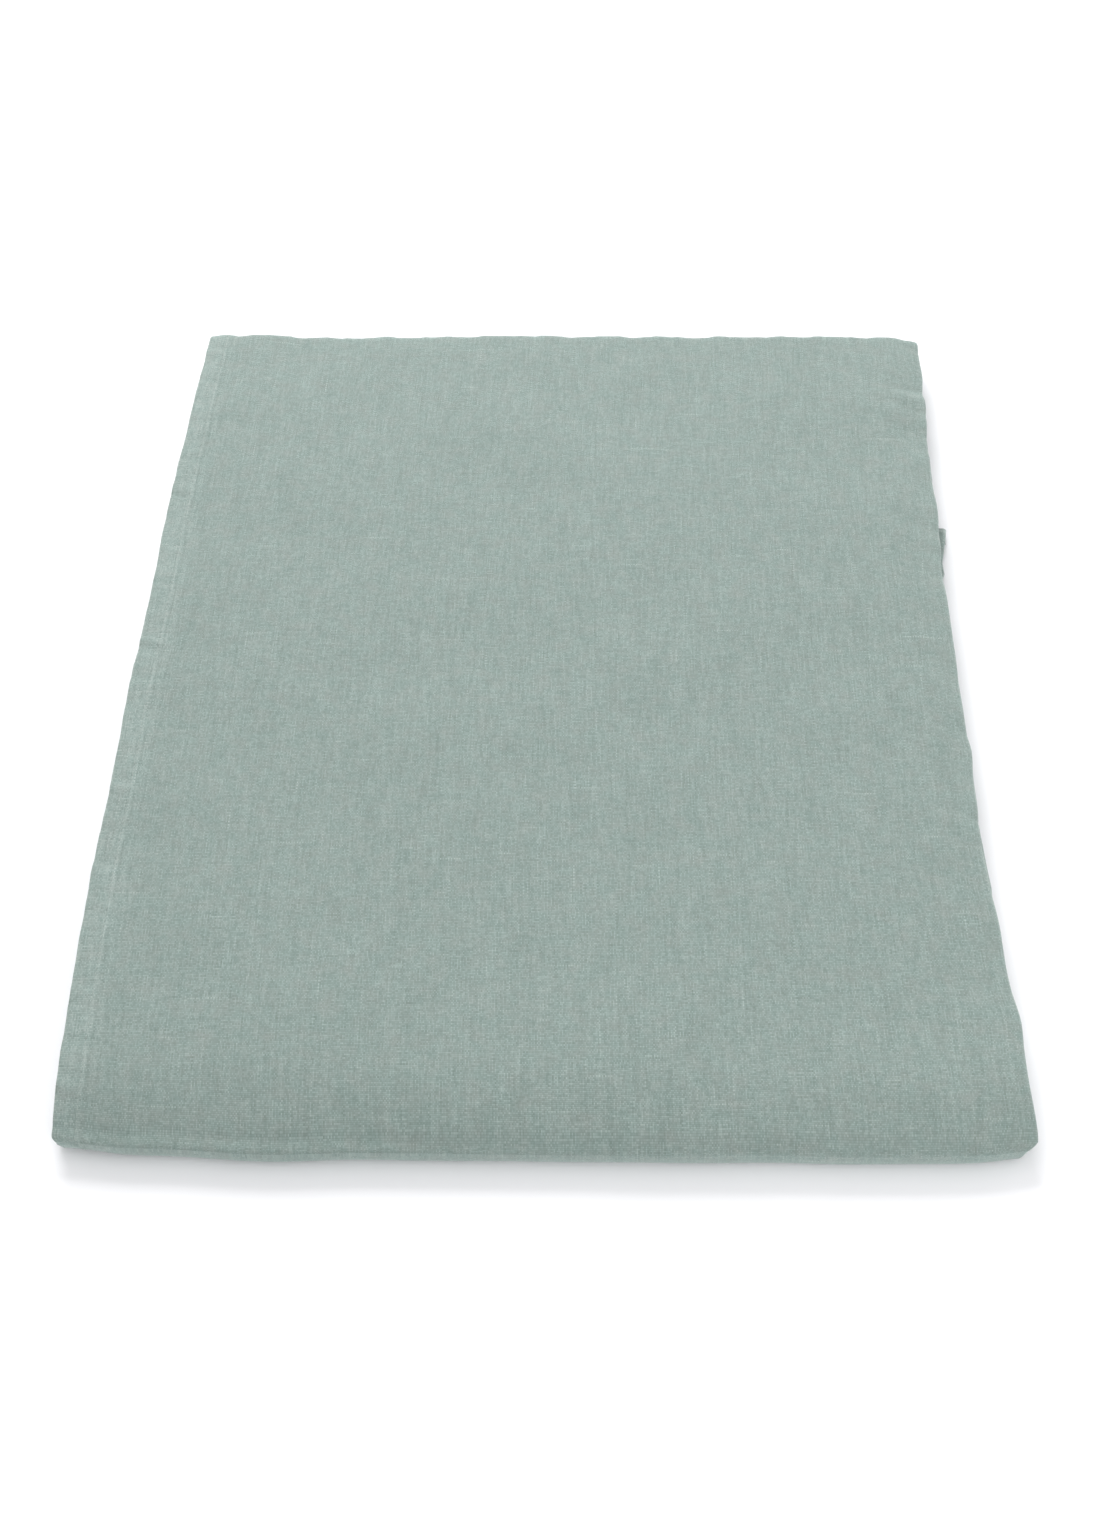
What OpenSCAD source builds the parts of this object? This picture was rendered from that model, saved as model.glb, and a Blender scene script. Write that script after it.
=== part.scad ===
// A linen tablecloth, folded twice across its width and twice along its length.
// X runs across the packet, Y from the front fold to the back, Z up. Millimetres.
// The stack holds four strips, and each strip holds four plies, side folds included.

/* [Cloth] */
// Width of the open cloth, from hem edge to hem edge
cloth_w = 1500; // [1300:10:1600]
// Length of the open cloth, from hem edge to hem edge
cloth_l = 1800; // [1500:10:2400]
// Thickness of one ply of linen
ply_t = 0.35; // [0.25:0.05:0.5]
// Width of the turned hem
hem_w = 10; // [6:1:20]
// Thickness that the two turned layers of a hem add to the ply
hem_extra = 0.33; // [0.2:0.01:0.36]
// Distance of the stitching from the inner edge of the hem
stitch_inset = 1.2; // [0.8:0.1:3]
// Width of the sewing thread
thread_w = 0.4; // [0.3:0.05:0.6]
// Depth that the sewing thread sinks into the hem
thread_t = 0.15; // [0.1:0.01:0.2]

/* [Folding] */
// Height that one ply takes up in the stack, air included
ply_pitch = 1.1; // [1.05:0.05:1.6]
// Height of the gap at the last fold, where the two halves part
core_gap = 1.0; // [0.8:0.1:2]
// Distance of the first cloth end from the front, as a share of the depth
short_end_share = 0.72; // [0.4:0.01:0.9]
// Distance of the second cloth end in front of the back fold
long_end_inset = 21; // [5:1:40]
// Distance of the under hem's edge inside the upper hem's edge
under_hem_inset = 3; // [1:0.5:8]
// Distance of the left side fold inside the upper hem's edge
side_fold_inset = 1.5; // [0.5:0.5:8]

/* [Hidden] */
$fn = 48;
plies = 4;
half_t = ply_t / 2;
strip_h = plies * ply_pitch;
strip_mid = strip_h / 2;
// Outer radii of the front wrap, the back fold and the three side folds
wrap_r = 2 * strip_h - ply_pitch / 2 + half_t;
back_r = strip_h - ply_pitch / 2 + half_t;
side_r = 1.5 * ply_pitch + half_t;
left_r = ply_pitch / 2 + half_t;
// Width of the packet: the four plies and three side folds use up the cloth's width
fold_arcs_w = 2.5 * PI * ply_pitch;
left_insets = 2 * (side_fold_inset + left_r) + under_hem_inset;
pack_w = (cloth_w + left_insets - fold_arcs_w) / plies + side_r;
// Depth of the packet: three full strips and a short one use up the cloth's length
fold_arcs_l = 10 * PI * ply_pitch + 2 * core_gap;
strip_insets = 4 * wrap_r + 2 * back_r + long_end_inset;
pack_d = (cloth_l + strip_insets - fold_arcs_l) / (3 + short_end_share);
pack_h = 2 * wrap_r + core_gap;
// Heights: the middle of the stack, and the outer faces of each strip
mid_z = pack_h / 2;
lower_core_z = mid_z - core_gap / 2;
upper_core_z = mid_z + core_gap / 2;
back_z = upper_core_z + strip_h;
seam_z = lower_core_z - strip_h;
// Places along Y and X
front_y = -pack_d / 2;
wrap_y = front_y + wrap_r;
back_y = pack_d / 2 - back_r;
short_end_y = front_y + short_end_share * pack_d;
long_end_y = pack_d / 2 - long_end_inset;
left_x = -pack_w / 2;
side_x = pack_w / 2 - side_r;
left_fold_x = left_x + side_fold_inset + left_r;
// Inner edges of the two side hems, on the top ply and on the ply under it
hem_x = [left_x, left_x + under_hem_inset];
hem_ply = [3.5 * ply_pitch, 2.5 * ply_pitch];
// Slack that keeps the two halves apart at the crease
crease_slack = 0.1;
linen = [0.60, 0.66, 0.62];
linen_turned = [0.55, 0.61, 0.57];
thread_green = [0.68, 0.72, 0.68];

// ---- Outlines across the strip: X across the cloth, Y up through its four plies ----

// One straight ply from x0 to x1 at height n; extra thickness goes towards the strip's middle
module ply_line(x0, x1, n, extra) {
    inward = n > strip_mid ? -extra : 0;
    translate([x0, n - half_t + inward]) square([x1 - x0, ply_t + extra]);
}

// Half a ring round a fold, on its right (side 1) or on its left (side -1)
module fold_ring(x, n, r, extra, side) {
    translate([x, n]) intersection() {
        difference() {
            circle(r + half_t);
            circle(r - half_t - extra);
        }
        translate([side > 0 ? 0 : -2 * strip_h, -2 * strip_h]) square([2 * strip_h, 4 * strip_h]);
    }
}

// The whole strip, folded twice across: both side folds on the right, one on the left
module strip_band(extra) {
    ply_line(left_fold_x, side_x, 0.5 * ply_pitch, extra);
    ply_line(left_fold_x, side_x, 1.5 * ply_pitch, extra);
    ply_line(hem_x[1] + hem_w, side_x, hem_ply[1], extra);
    ply_line(hem_x[0] + hem_w, side_x, hem_ply[0], extra);
    fold_ring(side_x, strip_mid, 1.5 * ply_pitch, extra, 1);
    fold_ring(side_x, strip_mid, 0.5 * ply_pitch, extra, 1);
    fold_ring(left_fold_x, ply_pitch, ply_pitch / 2, 0, -1);
}

// The two turned layers and the ply of one side hem (0 outer, 1 inner)
module side_hem_outline(which) {
    ply_line(hem_x[which], hem_x[which] + hem_w, hem_ply[which], hem_extra);
}

// Needle thread and bobbin thread, level with the two faces of the hem
module side_thread_outline(which) {
    x = hem_x[which] + hem_w - stitch_inset;
    top = hem_ply[which] + half_t;
    translate([x, top - thread_t]) square([thread_w, thread_t]);
    translate([x, top - ply_t - hem_extra]) square([thread_w, thread_t]);
}

module side_hem_grooved(which) {
    difference() {
        side_hem_outline(which);
        side_thread_outline(which);
    }
}

// ---- Runs of an outline along the cloth's length ----

// Straight run from y0 to y1 on the strip whose underside (flip 0) or top side (flip 1) is at z
module straight_run(y0, y1, z, flip) {
    translate([0, y1, z]) rotate([90, 0, 0]) linear_extrude(y1 - y0) mirror([0, flip, 0]) children();
}

// Run round a fold whose axis is at y, z: base is the radius of the strip's underside,
// turn is 1 when the plies stack outwards and -1 when they stack inwards
module fold_run(y, z, base, turn, start, sweep) {
    translate([0, y, z]) rotate([90, 0, 90]) rotate([0, 0, start]) rotate_extrude(angle = sweep)
        translate([base, 0]) mirror([1, -1, 0]) mirror([0, turn > 0 ? 0 : 1, 0]) children();
}

// Upright run of the crease, between the two quarters of the front wrap
module crease_run(base, turn) {
    translate([0, wrap_y - base, lower_core_z]) linear_extrude(core_gap - crease_slack)
        mirror([0, turn > 0 ? 1 : 0, 0]) children();
}

module front_quarter_top() {
    fold_run(wrap_y, upper_core_z, strip_h, 1, 90, 90) children();
}

module core_quarter_top() {
    fold_run(wrap_y, upper_core_z, strip_h, -1, 90, 90) children();
}

module front_quarter_base() {
    fold_run(wrap_y, lower_core_z, strip_h, 1, 180, 90) children();
}

module core_quarter_base() {
    fold_run(wrap_y, lower_core_z, strip_h, -1, 180, 90) children();
}

// Everything that one outline does in the upper half: wrap, top, back fold, inner strip, core
module upper_path() {
    front_quarter_top() children();
    straight_run(wrap_y, back_y, back_z, 0) children();
    fold_run(back_y, back_z, 0, 1, -90, 180) children();
    straight_run(wrap_y, back_y, back_z, 1) children();
    core_quarter_top() children();
}

// Lower half, under strip: from the front wrap to the short cloth end
module base_path(end_y) {
    front_quarter_base() children();
    straight_run(wrap_y, end_y, seam_z, 1) children();
}

// Lower half, inner strip: from the core fold to the long cloth end
module core_path(end_y) {
    core_quarter_base() children();
    straight_run(wrap_y, end_y, seam_z, 0) children();
}

// ---- Sub-parts: the woven panel, between its folds ----

module top_panel() {
    color(linen) straight_run(wrap_y, back_y, back_z, 0) strip_band(0);
}

module upper_inner_panel() {
    color(linen) straight_run(wrap_y, back_y, back_z, 1) strip_band(0);
}

module lower_inner_panel() {
    color(linen) straight_run(wrap_y, long_end_y - hem_w, seam_z, 0) strip_band(0);
}

module bottom_panel() {
    color(linen) straight_run(wrap_y, short_end_y - hem_w, seam_z, 1) strip_band(0);
}

module front_fold_top() {
    color(linen) front_quarter_top() strip_band(0);
}

module front_fold_base() {
    color(linen) front_quarter_base() strip_band(0);
}

module core_fold_top() {
    color(linen) core_quarter_top() strip_band(0);
}

module core_fold_base() {
    color(linen) core_quarter_base() strip_band(0);
}

module back_fold() {
    color(linen) fold_run(back_y, back_z, 0, 1, -90, 180) strip_band(0);
}

// The fabric that bends when the last fold opens
module front_crease() {
    color(linen) {
        crease_run(strip_h, 1) strip_band(0);
        crease_run(strip_h, -1) strip_band(0);
    }
}

// ---- Sub-parts: hems, seams and corners ----

module side_hem_top(which) {
    color(linen_turned) upper_path() side_hem_grooved(which);
}

module side_hem_core(which) {
    color(linen_turned) core_path(long_end_y - hem_w) side_hem_grooved(which);
}

module side_hem_base(which) {
    color(linen_turned) base_path(short_end_y - hem_w) side_hem_grooved(which);
}

module side_seam_top(which) {
    color(thread_green) upper_path() side_thread_outline(which);
}

module side_seam_core(which) {
    color(thread_green) core_path(long_end_y - hem_w) side_thread_outline(which);
}

module side_seam_base(which) {
    color(thread_green) base_path(short_end_y - hem_w) side_thread_outline(which);
}

// Slice of the strip that the stitching of an end hem runs in
module end_slice(end_y, z, flip) {
    y = end_y - hem_w + stitch_inset;
    straight_run(y, y + thread_w, z, flip) children();
}

// The end hem's thickness without the depth of its two threads
module end_hem_waist() {
    difference() {
        strip_band(hem_extra);
        end_threads();
    }
}

// Needle and bobbin threads of an end hem, one on each face of all four plies
module end_threads() {
    for (i = [0, 1]) {
        n = [0.5, 1.5][i] * ply_pitch;
        translate([left_fold_x, n - half_t]) square([side_x - left_fold_x, thread_t]);
        translate([left_fold_x, n + half_t + hem_extra - thread_t]) square([side_x - left_fold_x, thread_t]);
    }
    for (i = [0, 1]) {
        x = hem_x[i] + hem_w;
        translate([x, hem_ply[i] + half_t - thread_t]) square([side_x - x, thread_t]);
        translate([x, hem_ply[i] - half_t - hem_extra]) square([side_x - x, thread_t]);
    }
}

module end_hem(end_y, z, flip) {
    y = end_y - hem_w + stitch_inset;
    color(linen_turned) union() {
        straight_run(end_y - hem_w, y, z, flip) strip_band(hem_extra);
        straight_run(y, y + thread_w, z, flip) end_hem_waist();
        straight_run(y + thread_w, end_y, z, flip) strip_band(hem_extra);
    }
}

module end_seam(end_y, z, flip) {
    color(thread_green) end_slice(end_y, z, flip) end_threads();
}

// Corners 1 and 2 close the short end's two side hems, 3 and 4 the long end's
module hem_corner(number) {
    which = (number - 1) % 2;
    at_base = number <= 2;
    end_y = at_base ? short_end_y : long_end_y;
    color(linen_turned) straight_run(end_y - hem_w, end_y, seam_z, at_base ? 1 : 0) side_hem_outline(which);
}

top_panel();
upper_inner_panel();
lower_inner_panel();
bottom_panel();
front_fold_top();
front_fold_base();
core_fold_top();
core_fold_base();
front_crease();
back_fold();
side_hem_top(0);  // outer_hem_top
side_hem_core(0);  // outer_hem_core
side_hem_base(0);  // outer_hem_base
side_hem_top(1);  // inner_hem_top
side_hem_core(1);  // inner_hem_core
side_hem_base(1);  // inner_hem_base
side_seam_top(0);  // outer_seam_top
side_seam_core(0);  // outer_seam_core
side_seam_base(0);  // outer_seam_base
side_seam_top(1);  // inner_seam_top
side_seam_core(1);  // inner_seam_core
side_seam_base(1);  // inner_seam_base
end_hem(long_end_y, seam_z, 0);  // end_hem_core
end_hem(short_end_y, seam_z, 1);  // end_hem_base
end_seam(long_end_y, seam_z, 0);  // end_seam_core
end_seam(short_end_y, seam_z, 1);  // end_seam_base
for (number = [1:4]) {
    hem_corner(number);
}
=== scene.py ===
"""A folded linen tablecloth on a white ground: its woven panel, turned hems and stitching."""
import math

import bmesh
import bpy
import numpy as np
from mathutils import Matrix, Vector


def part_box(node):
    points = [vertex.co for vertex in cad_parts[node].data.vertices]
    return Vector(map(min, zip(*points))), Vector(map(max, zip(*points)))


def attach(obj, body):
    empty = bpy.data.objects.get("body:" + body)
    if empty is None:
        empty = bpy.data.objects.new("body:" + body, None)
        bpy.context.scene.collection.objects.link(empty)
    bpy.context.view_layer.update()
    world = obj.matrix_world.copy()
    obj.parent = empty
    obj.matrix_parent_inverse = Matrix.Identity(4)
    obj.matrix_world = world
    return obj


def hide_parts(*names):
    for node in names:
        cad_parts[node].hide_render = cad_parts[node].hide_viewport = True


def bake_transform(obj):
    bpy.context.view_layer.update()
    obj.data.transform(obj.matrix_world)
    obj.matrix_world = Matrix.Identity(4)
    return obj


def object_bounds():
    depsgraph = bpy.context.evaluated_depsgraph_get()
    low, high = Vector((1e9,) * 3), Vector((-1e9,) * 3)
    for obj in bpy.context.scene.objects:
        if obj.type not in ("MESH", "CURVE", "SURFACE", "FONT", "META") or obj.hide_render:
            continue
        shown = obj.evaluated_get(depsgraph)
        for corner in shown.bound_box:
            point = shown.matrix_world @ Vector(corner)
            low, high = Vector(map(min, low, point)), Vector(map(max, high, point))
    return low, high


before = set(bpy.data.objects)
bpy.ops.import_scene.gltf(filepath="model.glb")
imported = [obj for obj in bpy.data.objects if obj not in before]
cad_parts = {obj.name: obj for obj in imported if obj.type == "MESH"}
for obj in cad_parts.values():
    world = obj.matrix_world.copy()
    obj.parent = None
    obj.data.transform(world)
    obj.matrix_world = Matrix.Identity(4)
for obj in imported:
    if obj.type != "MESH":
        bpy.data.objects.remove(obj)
cad_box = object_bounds()

# ---- Sizes and places, from the frame, in metres ----

PI = math.pi
LOW, HIGH = cad_box
FRONT_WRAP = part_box("front_fold_top")
BACK_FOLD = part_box("back_fold")
WRAP_R = FRONT_WRAP[1].z - FRONT_WRAP[0].z
BACK_R = (BACK_FOLD[1].z - BACK_FOLD[0].z) / 2
PITCH = (WRAP_R - BACK_R) / 4
PLY_HALF = BACK_R - 3.5 * PITCH
STRIP = 4 * PITCH
WRAP_Y = FRONT_WRAP[1].y
BACK_Y = BACK_FOLD[0].y
UPPER_CORE_Z = FRONT_WRAP[0].z
LOWER_CORE_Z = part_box("front_fold_base")[1].z
CORE_GAP = UPPER_CORE_Z - LOWER_CORE_Z
MID_Z = (UPPER_CORE_Z + LOWER_CORE_Z) / 2
BACK_Z = UPPER_CORE_Z + STRIP
SEAM_Z = LOWER_CORE_Z - STRIP
TOP_Z = HIGH.z
LEFT_X = LOW.x
SIDE_X = HIGH.x - 1.5 * PITCH - PLY_HALF
LEFT_FOLD_X = BACK_FOLD[0].x + PITCH / 2 + PLY_HALF
UNDER_HEM_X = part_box("inner_hem_core")[0].x
HEM_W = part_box("outer_hem_core")[1].x - LEFT_X
SHORT_END_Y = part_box("end_hem_base")[1].y
LONG_END_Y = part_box("end_hem_core")[1].y
CLOTH_T = 0.00042
SEAM_IN = HEM_W - 0.0012
UNDER_RIDGE = UNDER_HEM_X - LEFT_X + HEM_W + 0.0006
STITCH = 0.0024
STITCH_GAP = 0.0006
THREAD_R = 0.0002
# the seams and the end hems stop this far from the cloth's corners
SEAM_END = 0.009
END_HEM_IN = 0.0095
# the spacing of the weave's threads
WARP_PITCH = 0.000584
WEFT_PITCH = 0.00083

# ---- Paths: the cloth's route across and along the packet ----


def line(a, b):
    """A straight stretch from point a to point b: its length and its points."""
    a, b = np.array(a, float), np.array(b, float)
    return float(np.linalg.norm(b - a)), lambda u: a + u[:, None] * (b - a)


def arc(centre, radius, start, end):
    """An arc about centre from angle start to angle end, in degrees."""
    centre = np.array(centre, float)
    first, turn = math.radians(start), math.radians(end - start)

    def points(u):
        angle = first + u * turn
        return centre + radius * np.stack([np.cos(angle), np.sin(angle)], 1)

    return abs(turn) * radius, points


# Across: x, and the height n in a strip of four plies. It starts at the top ply's hem edge.
ACROSS = [
    line((LEFT_X, 3.5 * PITCH), (SIDE_X, 3.5 * PITCH)),
    arc((SIDE_X, 2 * PITCH), 1.5 * PITCH, 90, -90),
    line((SIDE_X, 0.5 * PITCH), (LEFT_FOLD_X, 0.5 * PITCH)),
    arc((LEFT_FOLD_X, PITCH), 0.5 * PITCH, -90, -270),
    line((LEFT_FOLD_X, 1.5 * PITCH), (SIDE_X, 1.5 * PITCH)),
    arc((SIDE_X, 2 * PITCH), 0.5 * PITCH, -90, 90),
    line((SIDE_X, 2.5 * PITCH), (UNDER_HEM_X, 2.5 * PITCH)),
]


def straight(y0, y1, z, up):
    """A flat stretch of a strip: its underside at z when up is 1, its top side at z when up is -1."""
    return abs(y1 - y0), lambda u: (y0 + u * (y1 - y0), z + 0 * u, 0 * u, up + 0 * u)


def bend(centre, base, turn, start, end):
    """A fold of a strip about centre. base is its underside's radius; turn is 1 when n grows outwards."""
    first, sweep = math.radians(start), math.radians(end - start)

    def points(u):
        c, s = np.cos(first + u * sweep), np.sin(first + u * sweep)
        return centre[0] + base * c, centre[1] + base * s, turn * c, turn * s

    return abs(sweep) * (base + turn * 2 * PITCH), points


def upright(z0, z1, turn):
    """The short upright stretch at the front crease."""
    return CORE_GAP, lambda u: (WRAP_Y - STRIP + 0 * u, z0 + u * (z1 - z0), -turn + 0 * u, 0 * u)


# Along: y and z of a strip's underside, and the direction in which n grows. It starts at the short end.
ALONG = [
    straight(SHORT_END_Y, WRAP_Y, SEAM_Z, -1),
    bend((WRAP_Y, LOWER_CORE_Z), STRIP, 1, 270, 180),
    upright(LOWER_CORE_Z, UPPER_CORE_Z, 1),
    bend((WRAP_Y, UPPER_CORE_Z), STRIP, 1, 180, 90),
    straight(WRAP_Y, BACK_Y, BACK_Z, 1),
    bend((BACK_Y, BACK_Z), 0, 1, 90, -90),
    straight(BACK_Y, WRAP_Y, BACK_Z, -1),
    bend((WRAP_Y, UPPER_CORE_Z), STRIP, -1, 90, 180),
    upright(UPPER_CORE_Z, LOWER_CORE_Z, -1),
    bend((WRAP_Y, LOWER_CORE_Z), STRIP, -1, 180, 270),
    straight(WRAP_Y, LONG_END_Y, SEAM_Z, 1),
]


def starts(path):
    """The distance along the path at which each stretch starts, and the whole length last."""
    return np.concatenate([[0], np.cumsum([length for length, _ in path])])


def walk(path, distance):
    """The path's values at each distance along it, one row for each distance."""
    at, distance = starts(path), np.asarray(distance, float)
    which = np.clip(np.searchsorted(at, distance, side="right") - 1, 0, len(path) - 1)
    rows = None
    for i, (length, points) in enumerate(path):
        here = which == i
        if here.any():
            found = points((distance[here] - at[i]) / length)
            found = found if isinstance(found, np.ndarray) else np.stack(found, 1)
            rows = np.zeros((len(distance), found.shape[1])) if rows is None else rows
            rows[here] = found
    return rows


S_AT, T_AT = starts(ACROSS), starts(ALONG)
CLOTH_W, CLOTH_L = S_AT[-1], T_AT[-1]


def spaced(path, steps, edges=()):
    """Distances along a path: stretch i in steps of about steps[i], and the extra distances in edges."""
    at, out = starts(path), [0.0]
    for i, step in enumerate(steps):
        n = max(2, round((at[i + 1] - at[i]) / step))
        out += list(np.linspace(at[i], at[i + 1], n + 1)[1:])
    return np.unique(np.round(np.concatenate([out, edges]), 7))


# ---- Soft shape: what the cloth does away from the flat plies ----


def ramp(x, start, end):
    """0 before start, 1 after end, and smooth between them."""
    u = np.clip((x - start) / (end - start), 0, 1)
    return u * u * (3 - 2 * u)


def roll(x, start, end):
    """0 before start, then growing as a rounded edge falls away: 1 at end, and 1.21 at most."""
    return np.clip((x - start) / (end - start), 0, 1.1) ** 2


def bump(x, centre, width):
    """1 at the centre, and dying away smoothly on both sides."""
    return np.exp(-(((x - centre) / width) ** 2))


def waves(x, seed, longest, count=5, fall=0.7):
    """A smooth random line, about -1 to 1: count sines, each shorter than the last."""
    draw = np.random.default_rng(seed)
    total, size, out = 0, 1.0, 0 * x
    for i in range(count):
        out = out + size * np.sin(2 * PI * x / (longest / 1.7**i) + draw.uniform(0, 2 * PI))
        total, size = total + size * size, size * fall
    return out / math.sqrt(total)


def ripples(x, y, seed, longest, count=18, shortest=0.4):
    """A smooth random surface, about -1 to 1: count plane waves in all directions."""
    draw = np.random.default_rng(seed)
    out = 0 * x
    for _ in range(count):
        angle, length = draw.uniform(0, PI), longest * draw.uniform(shortest, 1)
        across = x * math.cos(angle) + y * math.sin(angle)
        out = out + np.sin(2 * PI * across / length + draw.uniform(0, 2 * PI))
    return out / math.sqrt(count / 2)


def scallops(x, seed, length):
    """Rounded swells with a narrow nip between them, about -1 to 1."""
    swell = np.abs(np.sin(PI * (x / length + 0.45 * waves(x, seed, 5 * length, 3))))
    return (swell**0.7 - 0.72) * (0.75 + 0.55 * waves(x, seed + 1, 8 * length, 3)) * 2


def billow(y, start, end):
    """A fold's bulge towards the front: it starts sharply behind start and dies away to nothing at end."""
    return ramp(-y, -start - 0.003, -start + 0.004) * (1 - ramp(-y, -start + 0.002, -end))


# Bulges (+) and nips (-) of the packet's sides and back: the centre, width and size of each
RIGHT_BULGES = (
    (0.214, 0.010, 0.0007), (0.112, 0.012, 0.0010), (0.067, 0.011, -0.0011), (-0.045, 0.008, 0.0009),
    (-0.107, 0.040, -0.0016), (-0.137, 0.022, 0.0007), (-0.190, 0.018, 0.0022), (-0.198, 0.012, -0.0008),
)
LEFT_BULGES = ((0.030, 0.055, 0.0010), (-0.063, 0.032, 0.0007), (-0.213, 0.020, 0.0008))
BACK_BULGES = ((-0.163, 0.022, 0.0016), (-0.025, 0.030, 0.0010))
# two longer bulges of the folded side, each with its start and end
LONG_BULGE, SHORT_BULGE = (0.197, 0.156), (0.152, 0.126)
# the seed and the length of the scallops along the folded side
SCALLOP = (5, 0.031)
# how far the packet's middle bows to the left
BOW = 0.0047


def bumps(x, places):
    """The sum of several bumps, each with its own centre, width and size."""
    return sum(size * bump(x, centre, width) for centre, width, size in places)


def side_shift(y, s, t, right, left, shown, calm):
    """How far the sides move across: the bow, the bulges and nips, and the wander of each fold and edge."""
    deep = y / HIGH.y
    swell = bumps(y, RIGHT_BULGES) + 0.0009 * billow(y, *LONG_BULGE) + 0.0004 * billow(y, *SHORT_BULGE)
    swell = swell + 0.0007 * ramp(-y, 0.210, 0.236) - 0.0006 * (1 - shown)
    shift = -BOW * (1 - deep * deep) + right * swell + left * bumps(y, LEFT_BULGES)
    wander = 0.00085 * scallops(t + 0.4 * s, *SCALLOP) + 0.0007 * ripples(s, t, 6, 0.12)
    shift = shift + right * calm * wander * (1 - 0.8 * shown)
    wander = 0.0006 * ripples(s, t, 8, 0.2) + 0.0004 * waves(t, 9, 0.05, 3)
    return shift + left * wander * (1 - 0.6 * shown)


def front_shift(x, y, z, front, heavy, corner_l, corner_r, nose):
    """How far the front wrap moves along: its corners are rounded, the folded one is cut short by its tuck,
    and its lower half is pressed nearly upright under a soft edge."""
    shift = 0.0030 * corner_l**2 + 0.0009 * ramp(-x, 0.115, 0.155) + 0.0012 * ramp(x, 0.10, 0.18)
    shift = shift + 0.0022 * corner_r**2 + 0.0010 * bump(x, 0.176, 0.010) - 0.0013 * bump(x, -0.105, 0.022)
    shift = shift + 0.0009 + 0.0005 * heavy + 0.0008 * bump(x, 0.088, 0.022)
    drop = np.clip((MID_Z - z) / MID_Z, 0, 0.98)
    return front * shift - nose * 0.55 * MID_Z * (1 - np.sqrt(1 - drop * drop))


def back_shift(x, s):
    """How far the back fold moves along: it isn't quite straight."""
    shift = 0.0005 * waves(x + 3 * s, 21, 0.12, 4) + bumps(x, BACK_BULGES) - 0.0009
    return shift - 0.0004 * ramp(x, 0.12, 0.17) - 0.0016 * ramp(x, 0.172, HIGH.x) ** 2


def squared(y, z):
    """How far the back fold's round moves up or down when it is pressed square."""
    radius = np.hypot(np.clip(y - BACK_Y, 0, None), z - MID_Z) + 1e-9
    return radius * np.sign(z - MID_Z) * (np.abs(z - MID_Z) / radius) ** 0.6 - (z - MID_Z)


def sag(x, y, heavy):
    """How far the top settles: at its edges, and most at the front, where the left rolls over early."""
    down = 0.0006 * ramp(x, 0.02, HIGH.x) + 0.0024 * roll(x, SIDE_X - 0.020, HIGH.x)
    down = down + 0.0007 * roll(-x, 0.172, -LEFT_X)
    down = down + 0.0003 * roll(y, 0.226, BACK_Y) * (1 - ramp(x, 0.02, 0.12))
    down = down + (0.0042 + 0.0002 * heavy) * roll(-y, 0.209, 0.2390) - 0.0006 * bump(y, -0.205, 0.035)
    return down + 0.0020 * heavy * roll(-y, 0.178, 0.2390)


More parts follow.
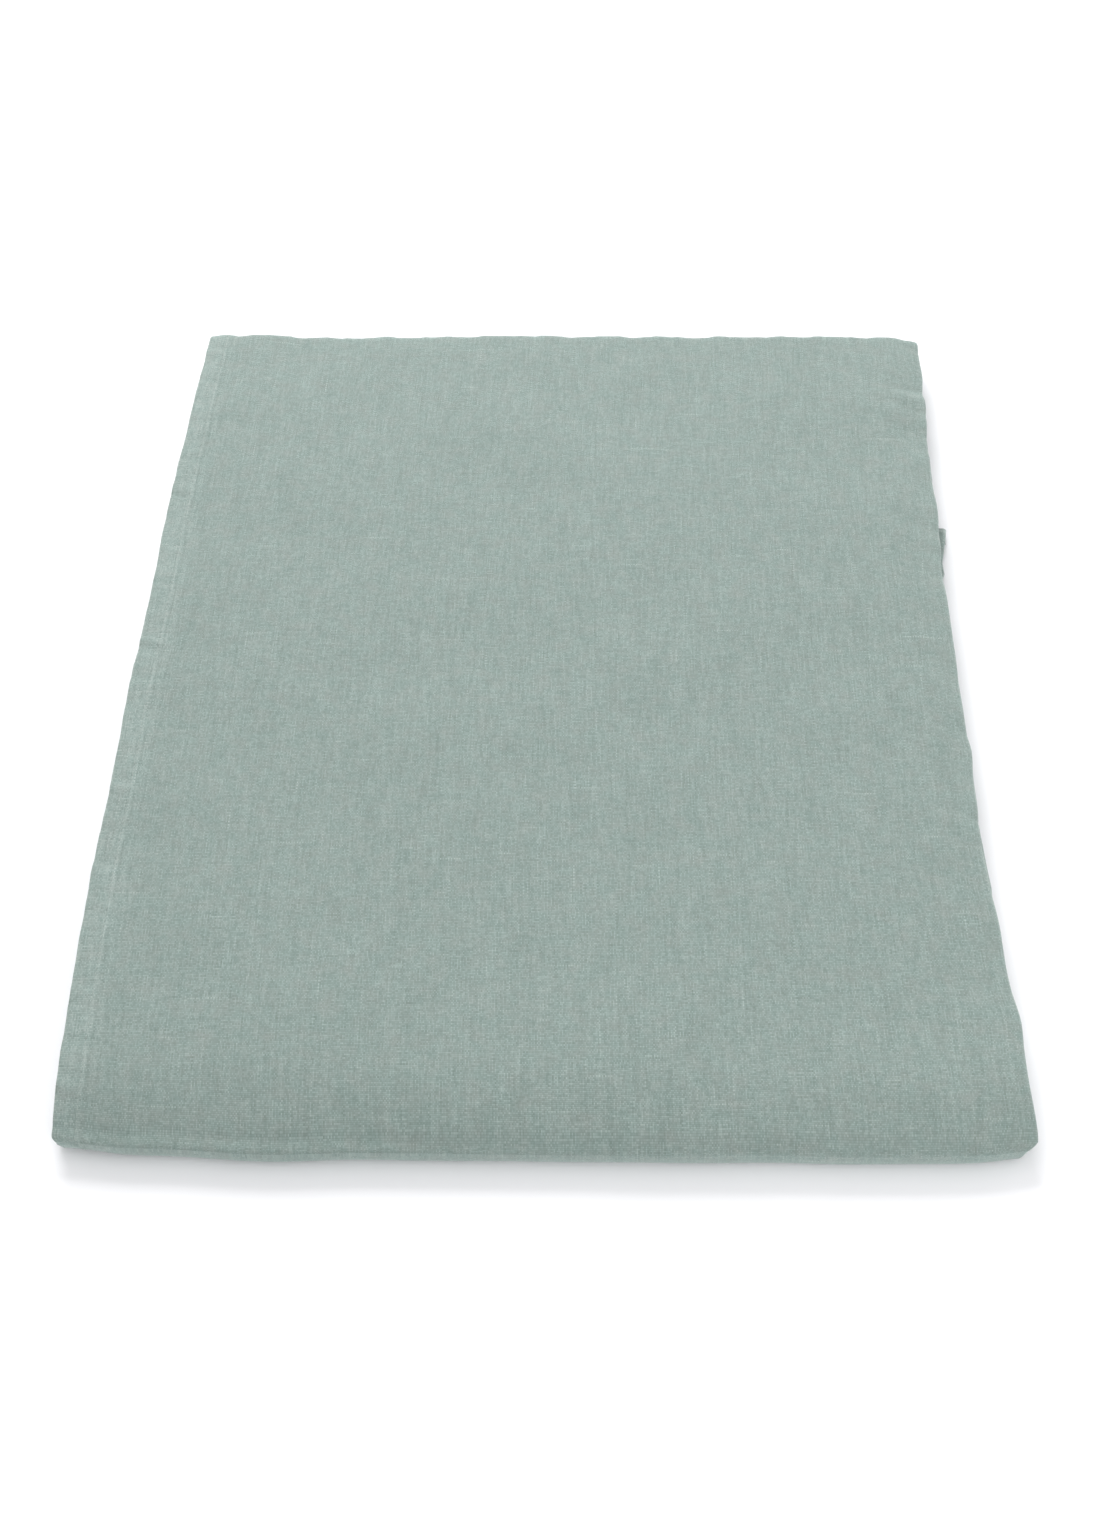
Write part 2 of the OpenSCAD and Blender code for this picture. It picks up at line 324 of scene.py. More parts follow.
def soften(x, y, z, s, t):
    """Moves points of the flat folded packet to where the soft cloth lies."""
    right, left = ramp(x, SIDE_X - 0.04, SIDE_X), ramp(-x, -LEFT_X - 0.05, -LEFT_X)
    front, back = ramp(-y, 0.205, -LOW.y), ramp(y, HIGH.y - 0.05, HIGH.y)
    corner_l, corner_r = ramp(-x, 0.150, -LEFT_X), ramp(x, 0.168, HIGH.x)
    # 1 behind the front wrap, which pulls every ply smooth
    calm = 1 - ramp(-y, 0.205, 0.225)
    # 1 at the left, where the front wrap hangs lower
    heavy = ramp(-x, -0.10, 0.12)
    # the height above the middle, and the depth below it, from 0 to 1
    above = np.clip((z - MID_Z) / (TOP_Z - MID_Z), 0, 1)
    below = np.clip((MID_Z - z) / MID_Z, 0, 1)
    under, over = t < T_AT[2], t > T_AT[9]
    # 1 on the top strip, 0 on the strips under it
    shown = ramp(t, T_AT[3], T_AT[4]) * (1 - ramp(t, T_AT[5], T_AT[6]))
    # how far down the face of the front wrap a point lies, from -1 behind its top to 1 in front of its foot
    nose, droop = ramp(-y, 0.222, 0.236), (0.76 * (WRAP_Y - y) - 0.65 * (z - MID_Z)) / MID_Z

    shift_x = side_shift(y, s, t, right, left, shown, calm)
    # the under strip's end lies askew and shows past the folded side
    shift_x = shift_x + 0.0050 * under * np.clip(1 - t / 0.065, 0, 1) * ramp(x, -0.05, 0.15)
    # the foot of the wrap draws in at both corners
    foot = 0.0042 * nose * np.clip((droop - 0.15) / 0.85, 0, 1) ** 2
    shift_x = shift_x + corner_l * (0.0006 * ramp(-y, 0.225, 0.2445) + foot)
    shift_x = shift_x - corner_r * 0.0050 * nose * np.clip((droop + 0.05) / 1.05, 0, 1)

    shift_y = front_shift(x, y, z, front, heavy, corner_l, corner_r, nose) + back * back_shift(x, s)

    swell = 0.00028 * ripples(x, y, 31, 0.15) + 0.00022 * ripples(4 * x, y, 32, 0.28, 10)
    lumps = scallops(t + 0.4 * s, *SCALLOP) + 2 * billow(y, *LONG_BULGE) + billow(y, *SHORT_BULGE)
    shift_z = squared(y, z) + above * (swell + right * calm * 0.00030 * lumps - sag(x, y, heavy))
    # at the left the front of the wrap sinks a little
    shift_z = shift_z - 0.0015 * heavy * np.clip(z / MID_Z, 0, 1) * ramp(-y, -WRAP_Y, -LOW.y)
    # behind the under strip's end the plies above it hang down to the ground
    hang = over * (z < MID_Z) * np.clip((LOWER_CORE_Z - z) / STRIP, 0, 1)
    shift_z = shift_z - 0.0042 * hang * ramp(y, SHORT_END_Y + 0.004, SHORT_END_Y + 0.075)
    # the left front corner lifts off the ground, and no ply lies quite flat
    shift_z = shift_z + below * 0.0023 * corner_l * front + 0.0003 * (1 - ramp(z, 0.0004, 0.0012))
    free = ramp(np.abs(z - MID_Z), 0.0009, 0.003) * ramp(z, 0.0002, 0.0012) * (1 - 0.7 * above**4)
    shift_z = shift_z + free * 0.00016 * ripples(s, t, 41, 0.11)
    # the upper half stays above the crease that it opens at
    shift_z = np.where(z > MID_Z, np.maximum(shift_z, -0.8 * (z - MID_Z)), shift_z)
    return x + shift_x, y + shift_y, z + shift_z


# ---- Points of the cloth ----


def surface(s, t):
    """The soft cloth's middle surface at distances s across and t along it."""
    xn, base = walk(ACROSS, s), walk(ALONG, t)
    x, n = xn[:, 0], xn[:, 1]
    return np.stack(soften(x, base[:, 0] + n * base[:, 2], base[:, 1] + n * base[:, 3], s, t), 1)


def frames(s, t, step=0.0002):
    """The middle surface's points, its unit directions across and along, and its normal on the face."""
    s, t = np.asarray(s, float).ravel(), np.asarray(t, float).ravel()
    s0, s1 = np.clip(s - step, 0, CLOTH_W), np.clip(s + step, 0, CLOTH_W)
    t0, t1 = np.clip(t - step, 0, CLOTH_L), np.clip(t + step, 0, CLOTH_L)
    across, along = surface(s1, t) - surface(s0, t), surface(s, t1) - surface(s, t0)
    across /= np.linalg.norm(across, axis=1, keepdims=True)
    along /= np.linalg.norm(along, axis=1, keepdims=True)
    normal = np.cross(across, along)
    return surface(s, t), across, along, normal / np.linalg.norm(normal, axis=1, keepdims=True)


def raised(s, t):
    """How far the panel's face stands up over the hems, with the seams' dents and the crinkles they draw."""
    out = 0 * s
    for u, v, seed in ((s, t, 50), (CLOTH_W - s, t, 51), (t, s, 52), (CLOTH_L - t, s, 53)):
        crinkle = waves(v + 0.3 * u, seed, 0.015, 3, 0.9) * ramp(-u, -0.015, -0.007)
        crinkle = crinkle * (0.8 + 0.5 * waves(v, seed + 9, 0.11, 3))
        out = np.maximum(out, 0.00030 * ramp(-u, -HEM_W - 0.0004, -HEM_W + 0.0005)) + 0.00022 * crinkle
        out = out - 0.00012 * bump(u, SEAM_IN, 0.0006)
    # the hem of the ply behind shows through the first one
    out = out + 0.00022 * ramp(-s, -UNDER_RIDGE - 0.0008, -UNDER_RIDGE + 0.0006)
    # the ground flattens the lowest ply
    grounded = (1 - ramp(t, T_AT[1] - 0.012, T_AT[1])) * (1 - ramp(s, S_AT[1] - 0.01, S_AT[1]))
    # and where the two halves lie face to face, each flattens the other
    faced = ramp(t, T_AT[5], T_AT[6]) * (1 - ramp(s, S_AT[1] - 0.01, S_AT[1]))
    return out * (1 - 0.9 * grounded) * (1 - 0.85 * faced)


# ---- Meshes ----


def new_mesh(name, verts, faces, uvs=None, smooth=True):
    mesh = bpy.data.meshes.new(name)
    mesh.from_pydata([tuple(v) for v in verts], [], [tuple(int(i) for i in f) for f in faces])
    mesh.validate()
    if smooth:
        mesh.polygons.foreach_set("use_smooth", [True] * len(mesh.polygons))
    if uvs is not None:
        layer = mesh.uv_layers.new(name="cloth")
        loops = np.zeros(len(mesh.loops), int)
        mesh.loops.foreach_get("vertex_index", loops)
        layer.data.foreach_set("uv", np.asarray(uvs, float)[loops].ravel())
    obj = bpy.data.objects.new(name, mesh)
    bpy.context.scene.collection.objects.link(obj)
    return obj


def face_out(obj):
    """Turns every face of a closed mesh outwards."""
    edit = bmesh.new()
    edit.from_mesh(obj.data)
    bmesh.ops.recalc_face_normals(edit, faces=edit.faces)
    edit.to_mesh(obj.data)
    edit.free()
    return obj


def shell(name, s, t, keep):
    """A closed sheet of the cloth's thickness over the grid s by t, on the cells that keep marks."""
    rows, cols = len(s), len(t)
    ss, tt = (a.ravel() for a in np.meshgrid(s, t, indexing="ij"))
    points, _, _, normal = frames(ss, tt)
    points = points + normal * raised(ss, tt)[:, None]
    verts = np.concatenate([points + normal * CLOTH_T / 2, points - normal * CLOTH_T / 2])
    uvs = np.tile(np.stack([ss, tt], 1), (2, 1))
    index, half = np.arange(rows * cols).reshape(rows, cols), rows * cols
    a, b, c, d = index[:-1, :-1], index[1:, :-1], index[1:, 1:], index[:-1, 1:]
    top = np.stack([a, b, c, d], 2)[keep]
    faces = [top, top[:, ::-1] + half]
    padded = np.pad(keep, 1)
    for axis, step, first, second in ((0, -1, d, a), (0, 1, b, c), (1, -1, a, b), (1, 1, c, d)):
        edge = keep & ~np.roll(padded, -step, axis)[1:-1, 1:-1]
        p, q = first[edge], second[edge]
        faces.append(np.stack([q, p, p + half, q + half], 1))
    faces = np.concatenate(faces)
    used = np.unique(faces)
    remap = np.zeros(len(verts), int)
    remap[used] = np.arange(len(used))
    return new_mesh(name, verts[used], remap[faces], uvs[used])


def from_edge(edge, u, v):
    """s and t of a point u inwards from one edge of the cloth and v along it."""
    return {"s0": (u, v), "s1": (CLOTH_W - u, v), "t0": (v, u), "t1": (v, CLOTH_L - u)}[edge]


def hem_section(turn, bottom, width):
    """The section of a turned hem, inwards from the cloth's edge and up from the ply's middle: a round nose
    outside, and a smaller round at its inner edge, with a nick where the two turned layers meet."""
    middle, radius = (turn + bottom) / 2, (turn - bottom) / 2
    nose = [(-radius * math.sin(a), middle + radius * math.cos(a)) for a in np.linspace(0, PI, 9)]
    inner_r = (-CLOTH_T / 2 - bottom) / 2
    centre = bottom + inner_r
    end = [(width - inner_r + inner_r * math.sin(a), centre - inner_r * math.cos(a))
           for a in np.linspace(0, PI, 7)]
    end[3] = (end[3][0] - 0.00012, end[3][1])
    flat = [(u, bottom) for u in np.linspace(0.0012, width - 0.0015, 5)]
    inside = [(u, -CLOTH_T / 2 - 0.00001) for u in np.linspace(width - 0.0015, 0.0012, 5)]
    return nose + flat + end + inside + [(0.0, 0.0)]


def hem(name, edge, v, section):
    """A turned hem along one edge of the cloth, at the distances v along it."""
    u, n = np.array(section).T
    uu, vv = (a.ravel() for a in np.meshgrid(u, v, indexing="ij"))
    nn = np.repeat(n, len(v))
    if edge[0] == "t":
        # there is less room inside the tight fold between the two inner plies
        nn = np.where(nn < -CLOTH_T / 2, nn * (1 - 0.4 * bump(vv, (S_AT[3] + S_AT[4]) / 2, 0.0025)), nn)
    s, t = from_edge(edge, np.clip(uu, 0, None), vv)
    points, across, along, normal = frames(s, t)
    outwards = {"s0": -across, "s1": across, "t0": -along, "t1": along}[edge]
    verts = points + outwards * np.clip(-uu, 0, None)[:, None] + normal * (nn + raised(s, t))[:, None]
    rows, cols = len(u), len(v)
    index = np.arange(rows * cols).reshape(rows, cols)
    after = np.roll(index, -1, axis=0)
    sides = np.stack([index[:, :-1], after[:, :-1], after[:, 1:], index[:, 1:]], 2).reshape(-1, 4).tolist()
    faces = sides + [index[:, 0].tolist(), index[::-1, -1].tolist()]
    uvs = np.stack(from_edge(edge, uu + (nn + CLOTH_T) * 0.9, vv), 1)
    return face_out(new_mesh(name, verts, faces, uvs))


# One stitch: its rings, each with its place in half stitches, its size in thread radii and its height
STITCH_RINGS = ((-1.0, 0.10, -0.00022), (-0.86, 0.75, -0.00006), (-0.45, 1.0, 0.00004), (0.0, 1.0, 0.00007),
                (0.45, 1.0, 0.00004), (0.86, 0.75, -0.00006), (1.0, 0.10, -0.00022))
THREAD_SIDES = 6


def stitch_shape():
    """One stitch's points, as distances ahead, aside and up, and its faces."""
    n, rings = THREAD_SIDES, len(STITCH_RINGS)
    around = [(math.cos(a), math.sin(a)) for a in np.arange(n) * 2 * PI / n]
    shape = [(place * STITCH / 2, radius * c * THREAD_R, height + radius * q * THREAD_R)
             for place, radius, height in STITCH_RINGS for c, q in around]
    faces = [(n * i + j, n * i + (j + 1) % n, n * i + n + (j + 1) % n, n * i + n + j)
             for i in range(rings - 1) for j in range(n)]
    return np.array(shape), faces + [tuple(range(n - 1, -1, -1)), tuple(range(n * (rings - 1), n * rings))]


def stitches(name, rows):
    """Lock stitches along rows of (edge, first v, last v): short raised threads that dip in at both ends."""
    shape, sides = stitch_shape()
    draw = np.random.default_rng(61)
    verts, faces, uvs = [], [], []
    for edge, first, last in rows:
        v = np.arange(first, last, STITCH + STITCH_GAP)
        v = v + draw.normal(0, 0.00008, len(v))
        lean = draw.normal(0, 0.035, len(v)) + 0.05
        s, t = from_edge(edge, SEAM_IN + draw.normal(0, 0.00005, len(v)), v)
        points, across, along, normal = frames(s, t)
        ahead, aside = (along, across) if edge[0] == "s" else (across, along)
        ahead, aside = ahead + aside * lean[:, None], aside - ahead * lean[:, None]
        lift = CLOTH_T / 2 + raised(s, t)
        for i in range(len(v)):
            start = len(verts) * len(shape)
            up = shape[:, 2:] + lift[i]
            verts.append(points[i] + shape[:, :1] * ahead[i] + shape[:, 1:2] * aside[i] + up * normal[i])
            faces += [tuple(start + j for j in side) for side in sides]
            uvs.append(np.stack([shape[:, 0] + v[i], shape[:, 1] * 2 + 0 * v[i]], 1))
    return face_out(new_mesh(name, np.concatenate(verts), faces, np.concatenate(uvs)))


# ---- Materials ----


class Nodes:
    """Short calls for building a node tree."""

    def __init__(self, name):
        self.material = bpy.data.materials.new(name)
        self.material.use_nodes = True
        self.tree = self.material.node_tree
        self.shader = self.tree.nodes["Principled BSDF"]

    def add(self, kind, **settings):
        node = self.tree.nodes.new(kind)
        for key, value in settings.items():
            setattr(node, key, value)
        return node

    def link(self, source, target):
        if hasattr(source, "is_linked"):
            self.tree.links.new(source, target)
        else:
            target.default_value = source

    def math(self, operation, *values, clamp=False):
        node = self.add("ShaderNodeMath", operation=operation, use_clamp=clamp)
        for value, socket in zip(values, node.inputs):
            self.link(value, socket)
        return node.outputs[0]

    def vector(self, x, y, z=0.0):
        node = self.add("ShaderNodeCombineXYZ")
        for value, socket in zip((x, y, z), node.inputs):
            self.link(value, socket)
        return node.outputs[0]

    def noise(self, vector, scale=1.0, detail=0.0, rough=0.5):
        node = self.add("ShaderNodeTexNoise")
        self.link(vector, node.inputs["Vector"])
        node.inputs["Scale"].default_value = scale
        node.inputs["Detail"].default_value = detail
        node.inputs["Roughness"].default_value = rough
        return node.outputs["Fac"]

    def spread(self, value, low, high, to_low=0.0, to_high=1.0):
        node = self.add("ShaderNodeMapRange")
        for v, socket in zip((value, low, high, to_low, to_high), node.inputs):
            self.link(v, socket)
        return node.outputs[0]

    def mix(self, factor, a, b):
        node = self.add("ShaderNodeMix", data_type="RGBA")
        self.link(factor, node.inputs[0])
        self.link(a, node.inputs[6])
        self.link(b, node.inputs[7])
        return node.outputs[2]

    def bump(self, height, distance, strength=1.0):
        node = self.add("ShaderNodeBump")
        self.link(height, node.inputs["Height"])
        node.inputs["Distance"].default_value = distance
        node.inputs["Strength"].default_value = strength
        return node.outputs[0]


# How much the tone changes with threads' life, specks, streaks, clouds, slubs and the hems' paler band,
# which is partly the doubled cloth and partly painted light
LIFE, SPECK, BROAD, CLOUD, SLUB, HEM_TONE = 0.18, 0.12, 0.030, 0.012, 0.25, 0.09


def cloth_coordinates(m):
    """The cloth's own coordinates, s across and t along it, in metres."""
    split = m.add("ShaderNodeSeparateXYZ")
    m.link(m.add("ShaderNodeUVMap", uv_map="cloth").outputs[0], split.inputs[0])
    return split.outputs[0], split.outputs[1]


def stretched(m, x, y, x_scale, y_scale, place=0.0):
    """A noise vector with its own scale along x and along y."""
    return m.vector(m.math("MULTIPLY", x, x_scale), m.math("MULTIPLY", y, y_scale), place)


def threads(m, s, t):
    """The weave's height, its threads' life and slubs, which change along each thread, and its specks."""
    warp, weft = m.math("DIVIDE", s, WARP_PITCH), m.math("DIVIDE", t, WEFT_PITCH)
    warp_id, weft_id = m.math("FLOOR", warp), m.math("FLOOR", weft)
    wave_u, wave_v = (m.math("SINE", m.math("MULTIPLY", thread, PI)) for thread in (warp, weft))
    cross = m.math("MULTIPLY", wave_u, wave_v)
    height = m.math("POWER", m.math("ABSOLUTE", cross), 0.45)
    on_warp = m.spread(cross, -0.12, 0.12)
    on_weft = m.math("SUBTRACT", 1.0, on_warp)

    def shown(of_warp, of_weft):
        """The value of whichever thread lies on top."""
        warp_part, weft_part = m.math("MULTIPLY", of_warp, on_warp), m.math("MULTIPLY", of_weft, on_weft)
        return m.math("ADD", warp_part, weft_part)

    warp_life = m.noise(stretched(m, warp_id, t, 3.17, 55.0), 1.0, 2.0)
    weft_life = m.noise(stretched(m, s, weft_id, 130.0, 3.71, 9.0), 1.0, 2.0)
    life = shown(warp_life, m.spread(weft_life, 0.0, 1.0, 0.15, 0.85))
    warp_slub = m.noise(stretched(m, warp_id, t, 5.31, 38.0, 3.0), 1.0, 1.0)
    weft_slub = m.noise(stretched(m, s, weft_id, 32.0, 4.73, 5.0), 1.0, 1.0)
    slub = shown(m.spread(warp_slub, 0.66, 0.78), m.spread(weft_slub, 0.66, 0.78))
    speck = m.add("ShaderNodeTexWhiteNoise", noise_dimensions="2D")
    m.link(m.vector(warp_id, weft_id), speck.inputs["Vector"])
    return height, life, slub, speck.outputs["Value"]


def hem_tones(m, s, t):
    """What the hems add: they are painted paler, partly for the doubled cloth behind them and partly as
    painted light, the lit look of the left hem that faces the lamp; and they are lighter along the ridges
    over their edges.
    """
    tones = []
    for here, size in ((s, CLOTH_W), (t, CLOTH_L)):
        inwards = m.math("MINIMUM", here, m.math("SUBTRACT", size, here))
        # the hem band is painted paler: partly the doubled cloth, partly painted light standing in for the
        # lit left hem
        tones.append(m.spread(inwards, HEM_W - 0.0004, HEM_W + 0.0006, HEM_TONE, 0.0))
        ridge = m.math("ABSOLUTE", m.math("SUBTRACT", inwards, HEM_W - 0.0004))
        tones.append(m.spread(ridge, 0.0002, 0.0014, 0.10, 0.0))
    ridge = m.math("ABSOLUTE", m.math("SUBTRACT", s, UNDER_RIDGE - 0.0003))
    return tones + [m.spread(ridge, 0.0004, 0.0019, 0.08, 0.0)]


def linen(name, base, light, dark, warm):
    """Plain-weave linen, from the cloth's own coordinates in metres."""
    m = Nodes(name)
    s, t = cloth_coordinates(m)
    height, life, slub, speck = threads(m, s, t)
    broad = m.noise(stretched(m, s, t, 130.0, 28.0, 4.0), 1.0, 3.0, 0.6)
    cloud = m.noise(m.vector(s, t, 2.0), 60.0, 3.0, 0.55)
    tone = m.spread(life, 0.3, 0.7, -LIFE, LIFE)
    # the weave's gaps between threads are painted darker and the thread crowns lighter: painted shade and
    # painted highlight
    for part in [m.spread(speck, 0.0, 1.0, -SPECK, SPECK), m.spread(broad, 0.3, 0.7, -BROAD, BROAD),
                 m.spread(cloud, 0.3, 0.7, -CLOUD, CLOUD), m.math("MULTIPLY", slub, SLUB),
                 m.spread(height, 0.0, 1.0, -0.20, 0.10)] + hem_tones(m, s, t):
        tone = m.math("ADD", tone, part)
    tone = m.math("ADD", tone, 0.5, clamp=True)
    colour = m.mix(m.spread(tone, 0.0, 0.5), dark, base)
    colour = m.mix(m.spread(tone, 0.5, 1.0), colour, light)
    hue = m.noise(m.vector(s, t, 7.0), 120.0, 3.0, 0.6)
    colour = m.mix(m.spread(hue, 0.40, 0.75, 0.0, 0.9), colour, m.mix(0.22, colour, warm))
    m.link(colour, m.shader.inputs["Base Color"])
    m.link(m.spread(tone, 0.0, 1.0, 0.92, 0.80), m.shader.inputs["Roughness"])
    relief = m.math("ADD", m.math("MULTIPLY", height, 0.7), m.math("MULTIPLY", life, 0.6))
    m.link(m.bump(relief, 0.00018, 0.6), m.shader.inputs["Normal"])
    m.shader.inputs["Sheen Weight"].default_value = 0.6
    m.shader.inputs["Sheen Roughness"].default_value = 0.45
    m.shader.inputs["Sheen Tint"].default_value = (0.80, 0.90, 0.87, 1)
    m.shader.inputs["Specular IOR Level"].default_value = 0.2
    return m.material


# the spacing of a sewing thread's twists along it, and how steeply they cross it
TWIST_PITCH, TWIST_LEAN = 0.0007, 9000.0


def spun_thread(name, base, dark):
    """Two-ply sewing thread: a twist across the stitch."""
    m = Nodes(name)
    u, v = cloth_coordinates(m)
    twist = m.math("ADD", m.math("MULTIPLY", u, 2 * PI / TWIST_PITCH), m.math("MULTIPLY", v, TWIST_LEAN))
    ply = m.spread(m.math("SINE", twist), -1.0, 1.0)
    fuzz = m.noise(m.vector(u, v, 1.0), 900.0, 2.0)
    shade = m.math("MULTIPLY", ply, m.spread(fuzz, 0.2, 0.8, 0.6, 1.0))
    m.link(m.mix(shade, dark, base), m.shader.inputs["Base Color"])
    m.link(m.spread(fuzz, 0.0, 1.0, 0.7, 0.9), m.shader.inputs["Roughness"])
    m.link(m.bump(ply, 0.00004, 0.7), m.shader.inputs["Normal"])
    m.shader.inputs["Specular IOR Level"].default_value = 0.25
    return m.material


def srgb(r, g, b):
    """Linear colour from display values of 0 to 255."""
    return tuple(((v / 255 + 0.055) / 1.055) ** 2.4 for v in (r, g, b)) + (1.0,)


# each cloth's base, light, dark and warm colours
LINEN = linen("linen_weave", srgb(128.5, 144.5, 139.5), srgb(165, 178, 174), srgb(92, 109, 102.5),
              srgb(150, 141, 137))
HEM_LINEN = linen("hem_weave", srgb(129.5, 144.5, 139), srgb(166, 178, 173.5), srgb(93, 109, 102.5),
                  srgb(150, 141, 137))
THREAD = spun_thread("thread_twist", srgb(172.5, 184, 179), srgb(133, 146.5, 141.5))

# ---- The woven panel: the ply on top, its wrap and its side fold, and then all the plies inside ----

# distances inwards from a cloth edge where the hem, its ridge and its seam need points
near_hem = [
    0.0006, 0.0016, 0.0030, 0.0048, 0.0068, 0.0080, 0.0084, 0.0088, 0.0092, 0.0096,
    0.0100, 0.0105, 0.0115, 0.0125, 0.0130, 0.0134, 0.0138, 0.0142, 0.0150, 0.0165,
]
few_near_hem = near_hem[2::3]
# distances on both sides of a side fold where the plies inside need points
near_fold = (0.005, 0.012, 0.022)


def hem_lines(size):
    """The distances at both edges of the cloth where the plies inside need points for the hems."""
    return few_near_hem + [size - u for u in few_near_hem]


# The grids: a step for each stretch of the path, fine on the top ply and coarser on the plies inside.
s_fine = spaced(ACROSS[:2], [0.0028, 0.00045], near_hem)
t_fine = spaced(
    ALONG, [0.009, 0.0012, 0.00006, 0.0012, 0.0021, 0.0008, 0.009, 0.0006, 0.00006, 0.0006, 0.009])
t_fine = t_fine[(t_fine >= T_AT[1] - 1e-9) & (t_fine <= T_AT[6] + 1e-9)]
fold_lines = [S_AT[i] + side * d for i in (2, 3, 4, 5) for side in (-1, 1) for d in near_fold]
s_coarse = spaced(
    ACROSS, [0.016, 0.0007, 0.016, 0.00045, 0.016, 0.00045, 0.016], hem_lines(CLOTH_W) + fold_lines)
t_coarse = spaced(
    ALONG, [0.0075, 0.0018, 0.0001, 0.0018, 0.0075, 0.0016, 0.0075, 0.0012, 0.0001, 0.0012, 0.0075],
    hem_lines(CLOTH_L))
mid_s, mid_t = (s_coarse[1:] + s_coarse[:-1]) / 2, (t_coarse[1:] + t_coarse[:-1]) / 2
on_top = (mid_s[:, None] < S_AT[2]) & (mid_t[None] > T_AT[1]) & (mid_t[None] < T_AT[6])
top_ply = shell("top_ply", s_fine, t_fine, np.ones((len(s_fine) - 1, len(t_fine) - 1), bool))
inner_plies = shell("inner_plies", s_coarse, t_coarse, ~on_top)

# ---- Hems, corners and stitching ----

section = hem_section(CLOTH_T / 2, -0.00071, HEM_W - 0.0002)
corner_section = hem_section(CLOTH_T / 2 + 0.00006, -0.00084, HEM_W)
along_side = np.unique(np.concatenate([t_coarse, t_fine[::2]]))
along_end = s_coarse[(s_coarse > END_HEM_IN) & (s_coarse < CLOTH_W - END_HEM_IN)]
side_hem_outer = hem("side_hem_outer", "s0", along_side, section)
side_hem_inner = hem("side_hem_inner", "s1", t_coarse, section)
end_hem_short = hem("end_hem_short", "t0", along_end, section)
end_hem_long = hem("end_hem_long", "t1", along_end, section)
corners = []
for edge in ("t0", "t1"):
    for first in (0.0, CLOTH_W - HEM_W):
        corners.append(hem("corner", edge, np.linspace(first, first + HEM_W, 8), corner_section))


def joined(name, parts):
    """One object made of several meshes."""
    verts, faces, uvs = [], [], []
    for part in parts:
        mesh, start = part.data, len(verts)
        verts += [tuple(v.co) for v in mesh.vertices]
        faces += [tuple(start + i for i in p.vertices) for p in mesh.polygons]
        at = {loop.vertex_index: mesh.uv_layers[0].data[loop.index].uv for loop in mesh.loops}
        uvs += [tuple(at[i]) for i in range(len(mesh.vertices))]
        bpy.data.objects.remove(part)
        bpy.data.meshes.remove(mesh)
    return new_mesh(name, verts, faces, uvs)


hem_corners = joined("hem_corners", corners)
stitches_outer = stitches("stitches_outer", [("s0", SEAM_END, CLOTH_L - SEAM_END)])
stitches_inner = stitches("stitches_inner", [("s1", SEAM_END, CLOTH_L - SEAM_END)])
stitches_ends = stitches("stitches_ends", [(edge, SEAM_END, CLOTH_W - SEAM_END) for edge in ("t0", "t1")])

# ---- Each piece's material, the CAD nodes it replaces, and the body it rides on ----

for piece, material, slot, nodes in (
    (top_ply, LINEN, "linen", ["top_panel", "front_fold_top", "front_fold_base", "front_crease"]),
    (inner_plies, LINEN, "linen", ["upper_inner_panel", "lower_inner_panel", "bottom_panel",
                                   "core_fold_top", "core_fold_base", "back_fold"]),
    (side_hem_outer, HEM_LINEN, "turned_hem", ["outer_hem_top", "outer_hem_core", "outer_hem_base"]),
    (side_hem_inner, HEM_LINEN, "turned_hem", ["inner_hem_top", "inner_hem_core", "inner_hem_base"]),
    (end_hem_short, HEM_LINEN, "turned_hem", ["end_hem_base"]),
    (end_hem_long, HEM_LINEN, "turned_hem", ["end_hem_core"]),
    (hem_corners, HEM_LINEN, "turned_hem", ["hem_corner_1", "hem_corner_2", "hem_corner_3", "hem_corner_4"]),
    (stitches_outer, THREAD, "sewing_thread", ["outer_seam_top", "outer_seam_core", "outer_seam_base"]),
    (stitches_inner, THREAD, "sewing_thread", ["inner_seam_top", "inner_seam_core", "inner_seam_base"]),
    (stitches_ends, THREAD, "sewing_thread", ["end_seam_core", "end_seam_base"]),
):
    piece.data.materials.append(material)
    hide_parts(*nodes)
    if piece in (end_hem_short, end_hem_long, hem_corners, stitches_ends):
        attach(piece, "lower_half")
    else:
        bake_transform(piece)

# ---- Stage: floor, light and camera ----

FLOOR_HALF, FLOOR_DROP = 30, 0.0002
# each lamp's name, place, aim, size and power
LAMPS = (
    ("key", (-0.55, 2.42, 1.66), (0, 0, 0), 1.6, 84),
    ("top", (-0.1, 0.1, 1.8), (0, 0, 0), 2.2, 4.6),
    ("fill", (0.45, -0.75, 0.40), (0.15, -0.2, 0), 0.35, 1.6),
)
# how bright the room is: from the horizon to the ceiling, and from its front to its back
ROOM_HEIGHT = (0.05, 0.55, 1.5, 0.665)
ROOM_DEPTH = (-0.9, 0.3, 0.95, 1.0)
# the camera's azimuth, elevation and tilt in degrees, its distance and target in metres, and its lens in mm
CAMERA_TURN, CAMERA_DISTANCE, CAMERA_TARGET = (2.26, 49.66, -1.467), 0.9079, (0.00035, -0.04136, 0.0)
CAMERA_LENS, SENSOR = 47.66, 36


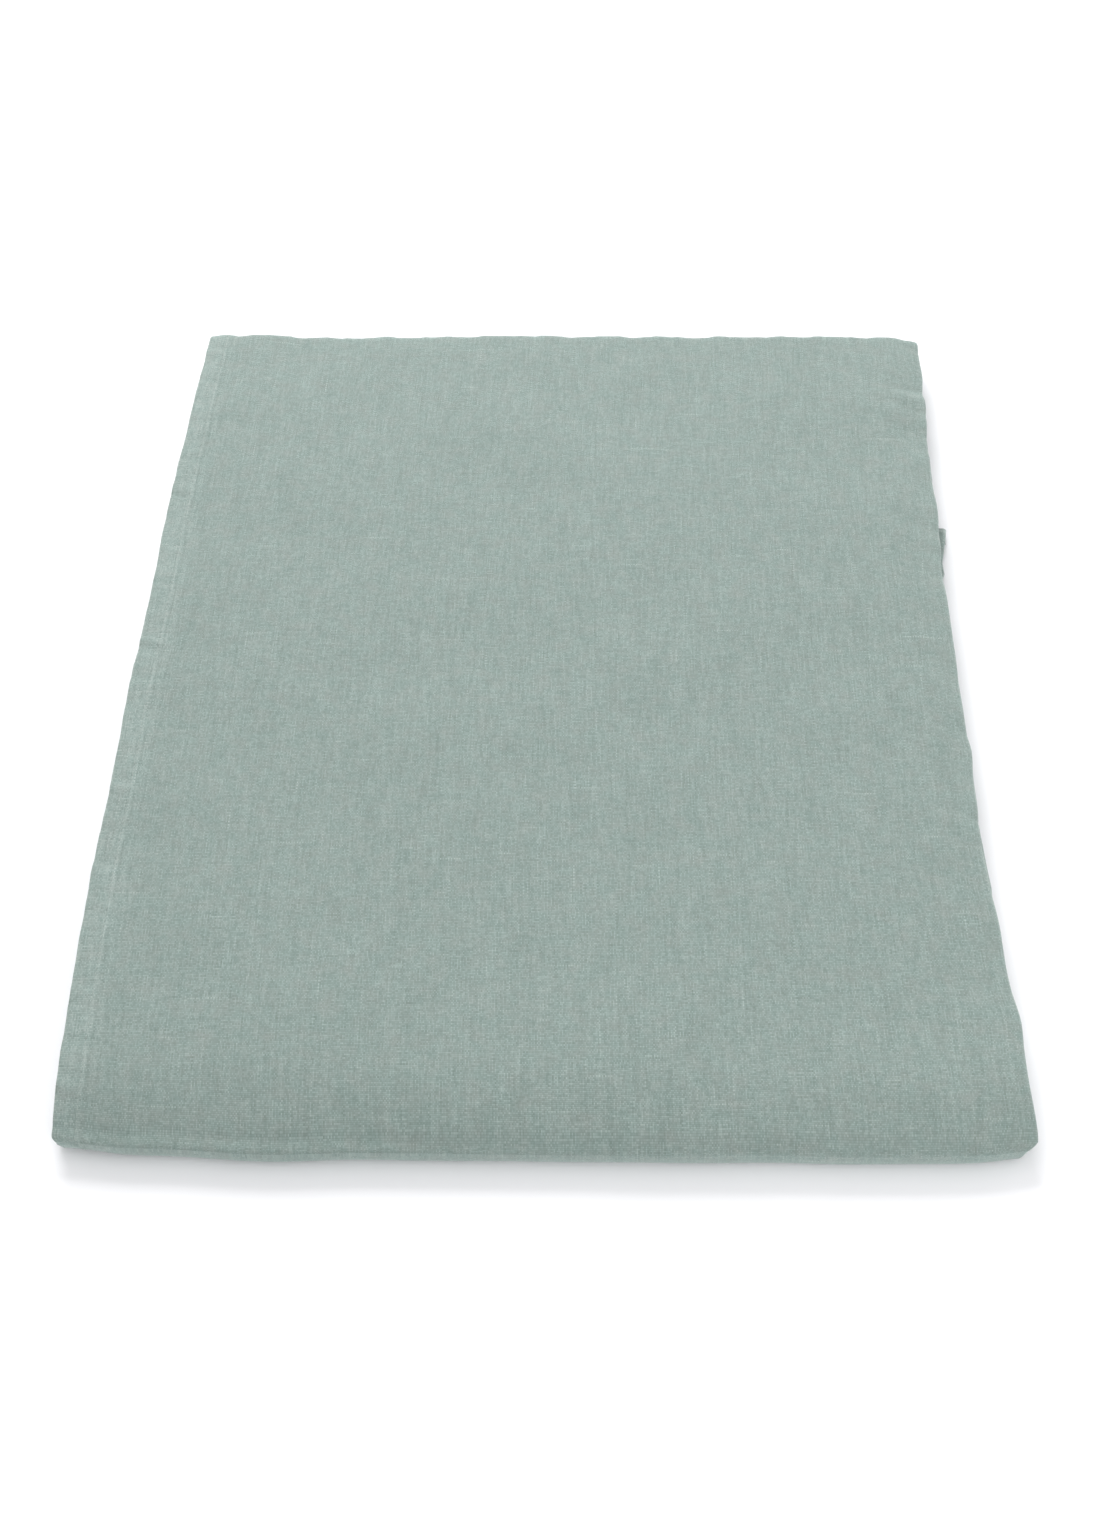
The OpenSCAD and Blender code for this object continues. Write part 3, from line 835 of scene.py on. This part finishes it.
def floor():
    h = FLOOR_HALF
    slab = new_mesh("floor", [(-h, -h, 0), (h, -h, 0), (h, h, 0), (-h, h, 0)], [(0, 1, 2, 3)], smooth=False)
    white = Nodes("floor_paint")
    white.shader.inputs["Base Color"].default_value = (0.925, 0.925, 0.945, 1)
    white.shader.inputs["Roughness"].default_value = 0.9
    white.shader.inputs["Specular IOR Level"].default_value = 0.1
    slab.data.materials.append(white.material)
    slab.location.z = -FLOOR_DROP


def room():
    """Bright walls all round and a dimmer ceiling, as the world's light."""
    world = bpy.data.worlds.new("studio")
    world.use_nodes = True
    tree = world.node_tree
    sky = tree.nodes["Background"]
    sky.inputs[0].default_value = (1, 1, 1, 1)
    split = tree.nodes.new("ShaderNodeSeparateXYZ")
    tree.links.new(tree.nodes.new("ShaderNodeTexCoord").outputs["Generated"], split.inputs[0])
    both = tree.nodes.new("ShaderNodeMath")
    both.operation = "MULTIPLY"
    for source, values, target in ((2, ROOM_HEIGHT, 0), (1, ROOM_DEPTH, 1)):
        fade = tree.nodes.new("ShaderNodeMapRange")
        tree.links.new(split.outputs[source], fade.inputs[0])
        for socket, value in zip(fade.inputs[1:5], values):
            socket.default_value = value
        tree.links.new(fade.outputs[0], both.inputs[target])
    tree.links.new(both.outputs[0], sky.inputs[1])
    bpy.context.scene.world = world


def lamps():
    for name, place, aim, size, power in LAMPS:
        lamp = bpy.data.lights.new(name, "AREA")
        lamp.size, lamp.energy = size, power
        obj = bpy.data.objects.new(name, lamp)
        obj.location = place
        obj.rotation_euler = (obj.location - Vector(aim)).to_track_quat("Z", "Y").to_euler()
        bpy.context.scene.collection.objects.link(obj)


def camera():
    azimuth, elevation, tilt = (math.radians(angle) for angle in CAMERA_TURN)
    level = math.cos(elevation)
    back = Vector((math.sin(azimuth) * level, -math.cos(azimuth) * level, math.sin(elevation)))
    data = bpy.data.cameras.new("camera")
    data.lens, data.sensor_width = CAMERA_LENS, SENSOR
    data.clip_start, data.clip_end = 0.01, 50
    obj = bpy.data.objects.new("camera", data)
    obj.location = Vector(CAMERA_TARGET) + back * CAMERA_DISTANCE
    turn = (-back).to_track_quat("-Z", "Y")
    obj.rotation_euler = (turn @ Matrix.Rotation(tilt, 4, "Z").to_quaternion()).to_euler()
    bpy.context.scene.collection.objects.link(obj)
    bpy.context.scene.camera = obj


floor()
room()
lamps()
camera()
bpy.context.scene.view_settings.view_transform = "Standard"
